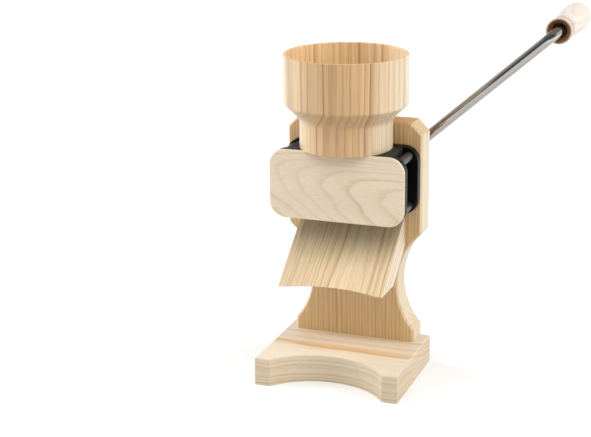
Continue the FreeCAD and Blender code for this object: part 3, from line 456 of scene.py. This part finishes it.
def dress_parts():
    dress(hopper_wood(), "hopper")
    dress(upright_wood(), "upright")
    dress(chute_wood(), "chute_board")
    dress(base_wood("base_front_ash", (-240, -50), 7.0, 1.3), "base_front_board")
    dress(base_wood("base_rear_ash", (290, 90), 4.0, 0.9), "base_rear_board")
    dress(panel_wood(), "front_panel")
    dress(dowel_wood(), "chute_dowels")
    dress(grip_wood(), "grip")
    dress(black_metal("plate_black", 0.004, 0.42, 0.14), "front_plate", "rear_plate")
    dress(black_metal("post_black", 0.02, 0.3, 0.6), "spacer_posts")
    dress(moulded_black(), "right_guide", "left_guide", "grip_bush")
    dress(rod_steel(), "crank_rod")
    dress(steel("roller_steel", 0.40, 0.34, (260, 3000, 260)), "drive_roller", "driven_roller")
    dress(steel("gear_steel", 0.46, 0.32, (900, 900, 900)), "drive_gear", "driven_gear")
    dress(steel("shaft_steel", 0.5, 0.28, (2500, 160, 2500)), "drive_shaft", "driven_shaft", "crank_hub")
    dress(steel("screw_steel", 0.52, 0.3, (1500, 1500, 1500)), "base_screws", "plate_screws",
          "mounting_bolts", "hub_pin", "crank_set_screw", "grip_snap_ring")
    dress(bronze(), "front_bushes", "rear_bushes")


def camera_axes():
    azimuth, elevation = CAMERA_AZIMUTH, CAMERA_ELEVATION
    back = Vector((math.sin(azimuth) * math.cos(elevation), -math.cos(azimuth) * math.cos(elevation),
                   math.sin(elevation)))
    right = (-back).cross(Vector((0, 0, 1))).normalized()
    up = right.cross(-back)
    turned_right = right * math.cos(CAMERA_ROLL) + up * math.sin(CAMERA_ROLL)
    turned_up = up * math.cos(CAMERA_ROLL) - right * math.sin(CAMERA_ROLL)
    return turned_right, turned_up, back


def add_camera():
    right, up, back = camera_axes()
    data = bpy.data.cameras.new("photo_camera")
    data.sensor_width = SENSOR_MM
    data.lens = FOCAL_PX * SENSOR_MM / PHOTO_WIDTH
    data.shift_x = (PHOTO_WIDTH / 2 - CENTRE_PX[0]) / PHOTO_WIDTH
    data.shift_y = (CENTRE_PX[1] - PHOTO_HEIGHT / 2) / PHOTO_WIDTH
    data.clip_end = FAR_CLIP
    camera = bpy.data.objects.new("photo_camera", data)
    place = CAMERA_TARGET + back * CAMERA_DISTANCE
    camera.matrix_world = Matrix((
        (right.x, up.x, back.x, place.x),
        (right.y, up.y, back.y, place.y),
        (right.z, up.z, back.z, place.z),
        (0, 0, 0, 1)))
    bpy.context.scene.collection.objects.link(camera)
    bpy.context.scene.camera = camera


def add_lamps():
    """Soft area lamps that light the object, while gloss shows the surroundings instead."""
    for name, place, size, power in LAMPS:
        data = bpy.data.lights.new(name, "AREA")
        data.shape = "RECTANGLE"
        data.size, data.size_y = size
        data.energy = power
        lamp = bpy.data.objects.new(name, data)
        lamp.location = place
        lamp.rotation_euler = (LAMP_AIM - Vector(place)).to_track_quat("-Z", "Y").to_euler()
        lamp.visible_glossy = False
        bpy.context.scene.collection.objects.link(lamp)


def add_world():
    """Soft even surroundings for the object.

    The camera sees plain white. Gloss sees the same white behind and beside the object,
    and the dim parts of the studio: above the backdrop, and where the photographer stands.
    """
    world = bpy.data.worlds.new("studio")
    bpy.context.scene.world = world
    world.use_nodes = True
    g = Graph(world.node_tree)
    direction = g.split(g.coordinates("Generated"))
    front = g.fade(direction["Y"], DIM_SIDE_FULL, DIM_SIDE_FROM, DIM_SIDE, 1.0)
    above = g.fade(direction["Z"], DIM_ABOVE_FROM, DIM_ABOVE_FULL, 1.0, DIM_ABOVE)
    levels = ((WARM_WHITE, SOFT_LIGHT), (WHITE, g.math("MINIMUM", front, above)), (WHITE, 1.0))
    soft, mirrored, white = [
        g.node("ShaderNodeBackground", Color=colour, Strength=strength).outputs[0]
        for colour, strength in levels]
    path = g.node("ShaderNodeLightPath").outputs
    mirroring = g.math("MAXIMUM", path["Is Glossy Ray"], path["Is Transmission Ray"])
    seen = g.mix_shader(path["Is Camera Ray"], g.mix_shader(mirroring, soft, mirrored), white)
    g.node("ShaderNodeOutputWorld", Surface=seen)


def floor_white():
    """Matt white that glows towards the distance for the camera and gloss, and keeps the shadow."""
    material = bpy.data.materials.new("floor_white")
    material.use_nodes = True
    g = Graph(material.node_tree)
    away = g.vector("LENGTH", g.coordinates("Object"))
    level = g.fade(away, GLOW_NEAR_REACH, GLOW_FAR_REACH, GLOW_NEAR, GLOW_FAR, "LINEAR")
    glow = g.node("ShaderNodeEmission", Color=WHITE, Strength=level).outputs[0]
    matt = g.node("ShaderNodeBsdfDiffuse", Color=FLOOR_BOUNCE).outputs[0]
    pale = g.node("ShaderNodeBsdfDiffuse", Color=FLOOR_SEEN).outputs[0]
    both = g.row("ShaderNodeAddShader", {}, (pale, glow)).outputs[0]
    path = g.node("ShaderNodeLightPath").outputs
    direct = g.math("MAXIMUM", path["Is Camera Ray"], path["Is Glossy Ray"])
    direct = g.math("MAXIMUM", direct, path["Is Transmission Ray"])
    g.node("ShaderNodeOutputMaterial", Surface=g.mix_shader(direct, matt, both))
    return material


def add_floor():
    half = FLOOR_HALF
    corners = [(-half, -half, 0), (half, -half, 0), (half, half, 0), (-half, half, 0)]
    mesh = bpy.data.meshes.new("floor")
    mesh.from_pydata(corners, [], [(0, 1, 2, 3)])
    mesh.materials.append(floor_white())
    floor = bpy.data.objects.new("floor", mesh)
    bpy.context.scene.collection.objects.link(floor)


bpy.context.scene.view_settings.view_transform = "Standard"
dress_parts()
add_camera()
add_lamps()
add_world()
add_floor()
